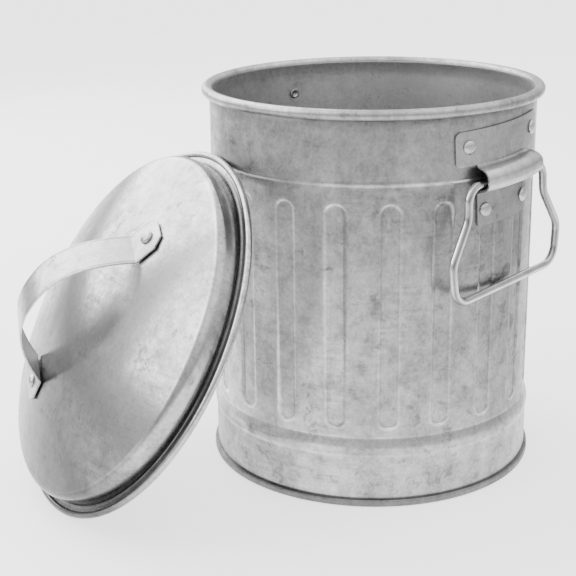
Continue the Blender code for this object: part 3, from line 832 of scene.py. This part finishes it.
def lid_light_and_shade(radius, angle, z):
    """Painted highlights on crease and flange, painted shade in groove and upper shoulder, painted light
    under the strap.
    """
    # Painted highlight on the crease with painted shade just beside it.
    crease = 0.30 * line_at(radius, LID_SHOULDER, 0.0005)
    crease = crease - 0.22 * line_at(radius, LID_SHOULDER + 0.0012, 0.0007)
    # Painted shade in the drum's groove, painted highlight on the flange, painted shade on the upper
    # shoulder.
    drum = smoothstep(LID_DRUM - 0.0006, LID_DRUM - 0.0002, radius)
    groove = drum * (1 - smoothstep(0.0016, 0.0074, z)) * (1 - smoothstep(0.1143, 0.1155, radius))
    flange = line_at(radius, LID_ROLL_RADIUS - 0.0023, 0.0007) * smoothstep(-0.001, 0.0, z)
    shoulder = smoothstep(0.1106, 0.1132, radius) * smoothstep(0.1140, 0.1136, radius)
    upper = smoothstep(0.50, 0.90, np.sin(angle)) * smoothstep(0.0, 0.003, z)
    # Painted light under the strap's arch towards its lower foot, lifting the shadow and dark reflection
    # there.
    along = radius * np.cos(angle - STRAP_ANGLE)
    across = np.abs(radius * np.sin(angle - STRAP_ANGLE))
    under_strap_light = smoothstep(-0.012, -0.045, along) * smoothstep(-0.066, -0.056, along)
    under_strap_light = under_strap_light * smoothstep(0.022, 0.008, across)
    return crease - 0.76 * groove + 0.45 * flange - 0.38 * shoulder * upper + 0.95 * under_strap_light


def make_lid():
    outer = lid_outline()
    inner = offset_outline(outer, -SHEET)
    inner[0] = (0.0, outer[0][1] - SHEET)
    outline = outer + list(reversed(inner))
    mesh = turned("lid_dome", outline, full_turn(360), closed=False, push=lid_push)
    line_inside(mesh, LID_DRUM + 0.003, LID_SHOULDER_Z + LID_CROWN)
    painted_light_and_shade(mesh, lid_light_and_shade)
    add_piece("lid_dome", moved(mesh, LID_MATRIX), LID_METAL, "lid", "lid_shell",
              sharp=16, lining=LIT_BACK_METAL)


def make_lid_wire():
    centre = (LID_ROLL_RADIUS, -LID_ROLL_DROP)
    mesh = turned("lid_core", arc(centre, LID_WIRE, 0, 324, 9), full_turn(180))
    add_piece("lid_core", moved(mesh, LID_MATRIX), CORE_METAL, "lid", "lid_rim_wire")


def strap_line():
    """(run, rise) of the strap's under face, from the middle of its arch to a foot's end."""
    lift = STRAP_LIFT
    base = dome_height(STRAP_BEND) + lift
    arch = [(STRAP_BEND * u, base + STRAP_RISE * (1 - u ** STRAP_POWER)) for u in np.linspace(0, 1, 40)]
    foot = [(r, dome_height(r) + lift) for r in np.linspace(STRAP_BEND, STRAP_END, 18)[1:]]
    corner = soften(arch[-3:] + foot[:3], 2)
    return arch[:-3] + corner + foot[3:]


def strap_light_and_shade(radius, angle, z):
    """Painted highlights on the edges with a painted dark line just inside them."""
    across = np.abs(radius * np.sin(angle))
    inner = 0.50 * line_at(across, STRAP_WIDTH / 2 - 0.0012, 0.0006)
    return 0.25 * smoothstep(STRAP_WIDTH / 2 - 0.0006, STRAP_WIDTH / 2, across) - inner


def make_strap():
    """A flat steel strap arched over the lid, its feet on the dome with clipped corners."""
    half = strap_line()
    line = [(-run, rise) for run, rise in reversed(half[1:])] + half
    rim = [1.0, 0.975, 0.95, 0.925, 0.90, 0.875, 0.85]
    columns = [-c for c in rim] + list(np.linspace(-0.8, 0.8, 13)) + list(reversed(rim))
    rows = []
    for run, rise in line:
        clip = max(abs(run) - (STRAP_END - STRAP_CHAMFER), 0.0)
        edge = STRAP_WIDTH / 2 - clip
        rows.append([(run, edge * c, rise) for c in columns])
    mesh = grid_mesh("strap_handle", np.array(rows))
    if mesh.polygons[len(mesh.polygons) // 2].normal.z < 0:
        mesh.flip_normals()
    painted_light_and_shade(mesh, strap_light_and_shade)
    mesh.transform(Matrix.Rotation(STRAP_ANGLE, 4, "Z"))
    piece = add_piece("strap_handle", moved(mesh, LID_MATRIX), STRAP_METAL, "lid", "lid_strap",
                      lining=LIT_BACK_METAL)
    thicken(piece, STRAP_SHEET, 0.0003, 3)


def make_lid_rivets():
    """A rivet through each foot of the strap, square to the dome."""
    lift = STRAP_LIFT + STRAP_SHEET + 0.0003
    for number, turn in ((1, STRAP_ANGLE), (2, STRAP_ANGLE + math.pi)):
        tilt = math.atan(dome_slope(STRAP_RIVET))
        place = Matrix.Translation((STRAP_RIVET, 0, dome_height(STRAP_RIVET)))
        matrix = Matrix.Rotation(turn, 4, "Z") @ place @ Matrix.Rotation(tilt, 4, "Y")
        matrix = LID_MATRIX @ matrix @ Matrix.Translation((0, 0, lift))
        node = "lid_rivet_" + str(number)
        mesh = rivet_mesh(node + "_head", 0.0035)
        mesh.transform(matrix)
        add_piece(node + "_head", mesh, RIVET_METAL, "lid", node, sharp=50)


# ---------------------------------------------------------------- floor, light and camera
CAMERA_AZIMUTH = math.radians(41)
CAMERA_DISTANCE = 0.8502
CAMERA_HEIGHT = 0.3857
CAMERA_HEADING = math.radians(44.779)
CAMERA_TILT = math.radians(18.008)
CAMERA_ROLL = math.radians(-0.781)
CAMERA_LENS = 82.42
# The floor glows round the object, and its glow falls off from FALL_START to FALL_END towards each azimuth.
FLOOR_SIZE = 40.0
FLOOR_SHADE = 0.5
FLOOR_GLOW = 1.7
FALL_AZIMUTHS = (math.radians(-20), math.radians(120))
FALL_START = 0.28
FALL_END = 0.65
FALL_TO = 0.12
KEY_AZIMUTH = math.radians(-95)
KEY_ELEVATION = math.radians(37)
KEY_DISTANCE = 1.3
KEY_SIZE = (1.25, 1.35)
KEY_POWER = 33.0
FILL_AZIMUTH = math.radians(-30)
FILL_ELEVATION = math.radians(39)
FILL_DISTANCE = 1.5
FILL_SIZE = (0.9, 1.5)
FILL_POWER = 19.0
SKY_HORIZON = 0.95
SKY_ZENITH = 3.7
SKY_POWER = 1.2
AIM = Vector((0, 0, 0.13))


def level_direction(azimuth):
    """Level direction at an azimuth, 0 towards -Y and 90 degrees towards +X, as the views count them."""
    return Vector((math.sin(azimuth), -math.cos(azimuth), 0))


def make_camera():
    """The photo's view: place, heading, tilt and lens as fitted to the bin's rims and bands."""
    camera = bpy.data.objects.new("camera", bpy.data.cameras.new("camera"))
    bpy.context.scene.collection.objects.link(camera)
    away = level_direction(CAMERA_AZIMUTH) * CAMERA_DISTANCE
    place = Matrix.Translation(AXIS + away + Vector((0, 0, CAMERA_HEIGHT)))
    turn = Matrix.Rotation(CAMERA_HEADING, 4, "Z") @ Matrix.Rotation(math.pi / 2 - CAMERA_TILT, 4, "X")
    camera.matrix_world = place @ turn @ Matrix.Rotation(CAMERA_ROLL, 4, "Z")
    camera.data.lens = CAMERA_LENS
    camera.data.sensor_width = 36.0
    bpy.context.scene.camera = camera


def make_ground():
    """A wide pale floor, just under the foot."""
    half = FLOOR_SIZE / 2
    corners = np.array([[(-half, -half, 0), (-half, half, 0)], [(half, -half, 0), (half, half, 0)]], float)
    ground = bpy.data.objects.new("ground", grid_mesh("ground", corners))
    bpy.context.scene.collection.objects.link(ground)
    ground.location.z = -0.0002
    material, kit = new_material("pale_floor")
    kit.feed(kit.shader, "Base Color", (FLOOR_SHADE, FLOOR_SHADE, FLOOR_SHADE, 1.0))
    kit.feed(kit.shader, "Roughness", 0.9)
    kit.feed(kit.shader, "Specular IOR Level", 0.1)
    kit.feed(kit.shader, "Emission Color", (1.0, 1.0, 1.0, 1.0))
    here = kit.add("ShaderNodeTexCoord").outputs["Object"]
    glow = FLOOR_GLOW
    for azimuth in FALL_AZIMUTHS:
        away = kit.along(here, AXIS, level_direction(azimuth))
        fall = kit.span(away, FALL_START, FALL_END, 1.0, FALL_TO)
        glow = kit.math("MULTIPLY", glow, fall)
    kit.feed(kit.shader, "Emission Strength", glow)
    ground.data.materials.append(material)


def make_world():
    """A soft studio sky: dim at the horizon and bright overhead."""
    world = bpy.data.worlds.new("studio")
    world.use_nodes = True
    tree = world.node_tree
    back = tree.nodes["Background"]
    place = tree.nodes.new("ShaderNodeTexCoord")
    split = tree.nodes.new("ShaderNodeSeparateXYZ")
    tree.links.new(place.outputs["Generated"], split.inputs["Vector"])
    clip = tree.nodes.new("ShaderNodeMath")
    clip.operation = "MAXIMUM"
    tree.links.new(split.outputs["Z"], clip.inputs[0])
    clip.inputs[1].default_value = 0.0
    curve = tree.nodes.new("ShaderNodeMath")
    curve.operation = "POWER"
    tree.links.new(clip.outputs[0], curve.inputs[0])
    curve.inputs[1].default_value = SKY_POWER
    blend = tree.nodes.new("ShaderNodeMath")
    blend.operation = "MULTIPLY_ADD"
    tree.links.new(curve.outputs[0], blend.inputs[0])
    blend.inputs[1].default_value = SKY_ZENITH - SKY_HORIZON
    blend.inputs[2].default_value = SKY_HORIZON
    tree.links.new(blend.outputs[0], back.inputs["Strength"])
    back.inputs["Color"].default_value = (1, 1, 1, 1)
    bpy.context.scene.world = world


def softbox(name, place, target, size, power):
    """A rectangular area light that looks at a target."""
    data = bpy.data.lights.new(name, "AREA")
    data.shape = "RECTANGLE"
    data.size, data.size_y = size
    data.energy = power
    lamp = bpy.data.objects.new(name, data)
    bpy.context.scene.collection.objects.link(lamp)
    lamp.location = place
    lamp.rotation_mode = "QUATERNION"
    lamp.rotation_quaternion = (Vector(target) - Vector(place)).to_track_quat("-Z", "Y")


def make_lights():
    """A large softbox on the left and a smaller one in front of it, both above the bin."""
    for name, azimuth, elevation, distance, size, power in (
            ("key", KEY_AZIMUTH, KEY_ELEVATION, KEY_DISTANCE, KEY_SIZE, KEY_POWER),
            ("fill", FILL_AZIMUTH, FILL_ELEVATION, FILL_DISTANCE, FILL_SIZE, FILL_POWER)):
        away = level_direction(azimuth) * math.cos(elevation) + WORLD_UP * math.sin(elevation)
        softbox(name, AIM + away * distance, AIM, size, power)


make_camera()
make_ground()
make_world()
make_lights()

make_body()
make_rim_wire()
make_floor_plate()
make_foot()
for name_of_side, angle_of_side in (("right", 0.0), ("left", math.pi)):
    make_bracket(name_of_side, angle_of_side)
    make_bracket_rivets(name_of_side, angle_of_side)
    make_bail(name_of_side)
make_lid()
make_lid_wire()
make_strap()
make_lid_rivets()
